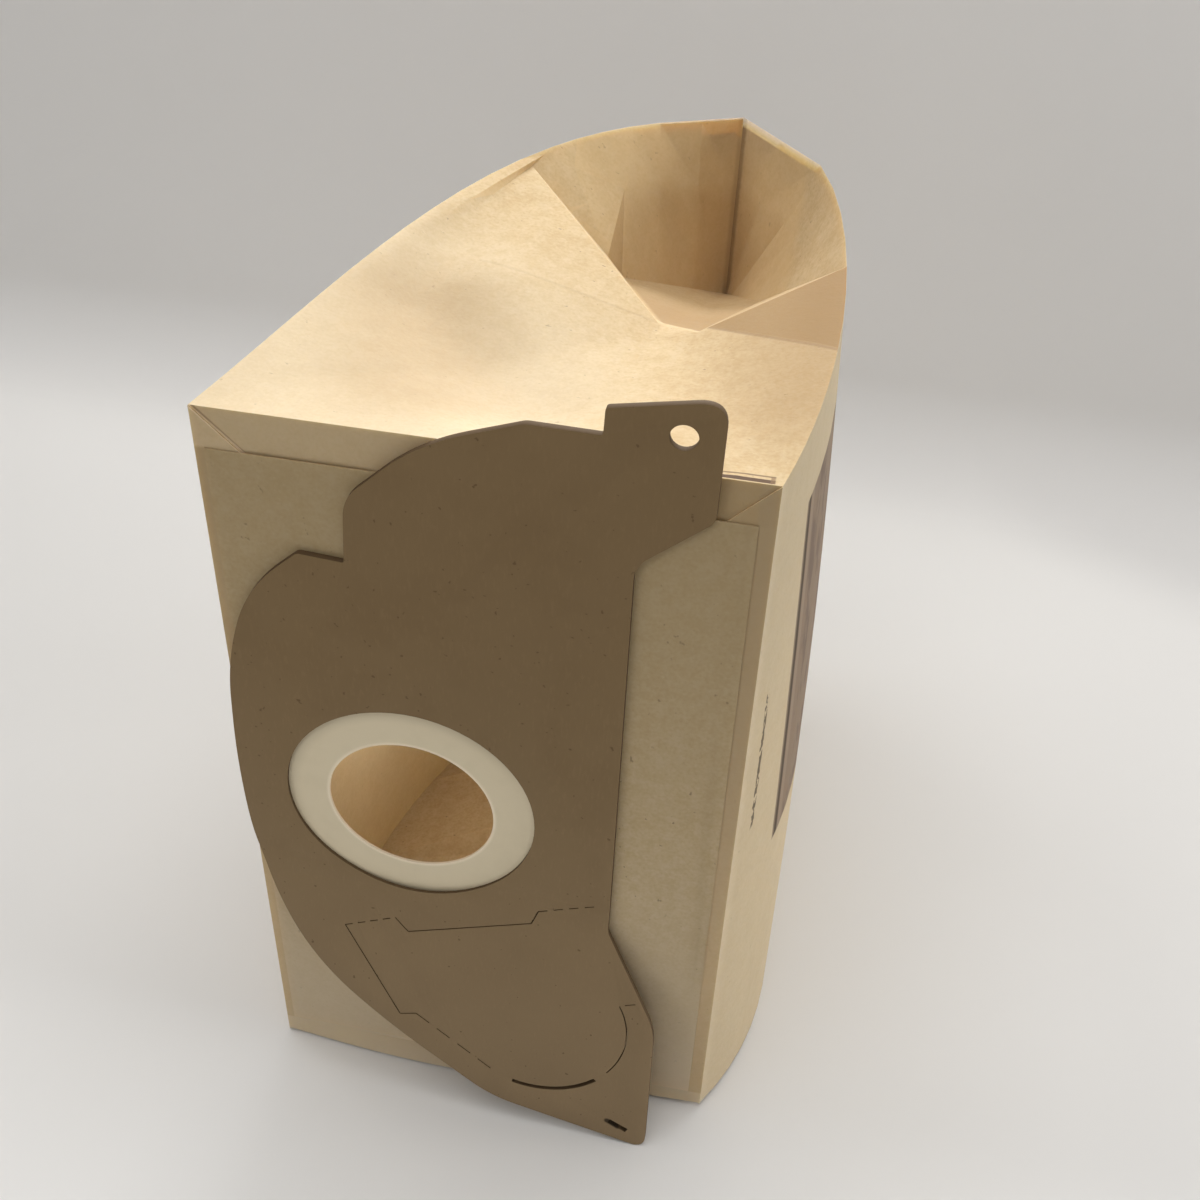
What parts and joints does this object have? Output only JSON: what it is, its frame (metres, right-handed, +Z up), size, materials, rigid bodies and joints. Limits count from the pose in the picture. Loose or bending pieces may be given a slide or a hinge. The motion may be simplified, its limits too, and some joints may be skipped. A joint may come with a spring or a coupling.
{
  "type": "vacuum dust bag",
  "caption": "Pleated block-bottomed paper dust bag with a die-cut cardboard mounting plate and a sealed round inlet.",
  "frame": {"origin": "middle of the overall footprint, on the surface the bag stands on", "axes": "+Z up along the block-bottomed end's long side, +Y from that end back to the pasted seam, +X to the right across the end"},
  "size_m": [0.1508, 0.2202, 0.2584],
  "materials": {
    "kraft_paper": "matt kraft paper",
    "patch_paper": "matt kraft paper",
    "sealing_ring": "off-white, smooth",
    "grey_board": "matt grey-brown board"
  },
  "bodies": {
    "root": {"bag_body": "kraft_paper", "end_patch": "patch_paper", "sealing_membrane": "sealing_ring", "mounting_plate": "grey_board"}
  },
  "joints": []
}
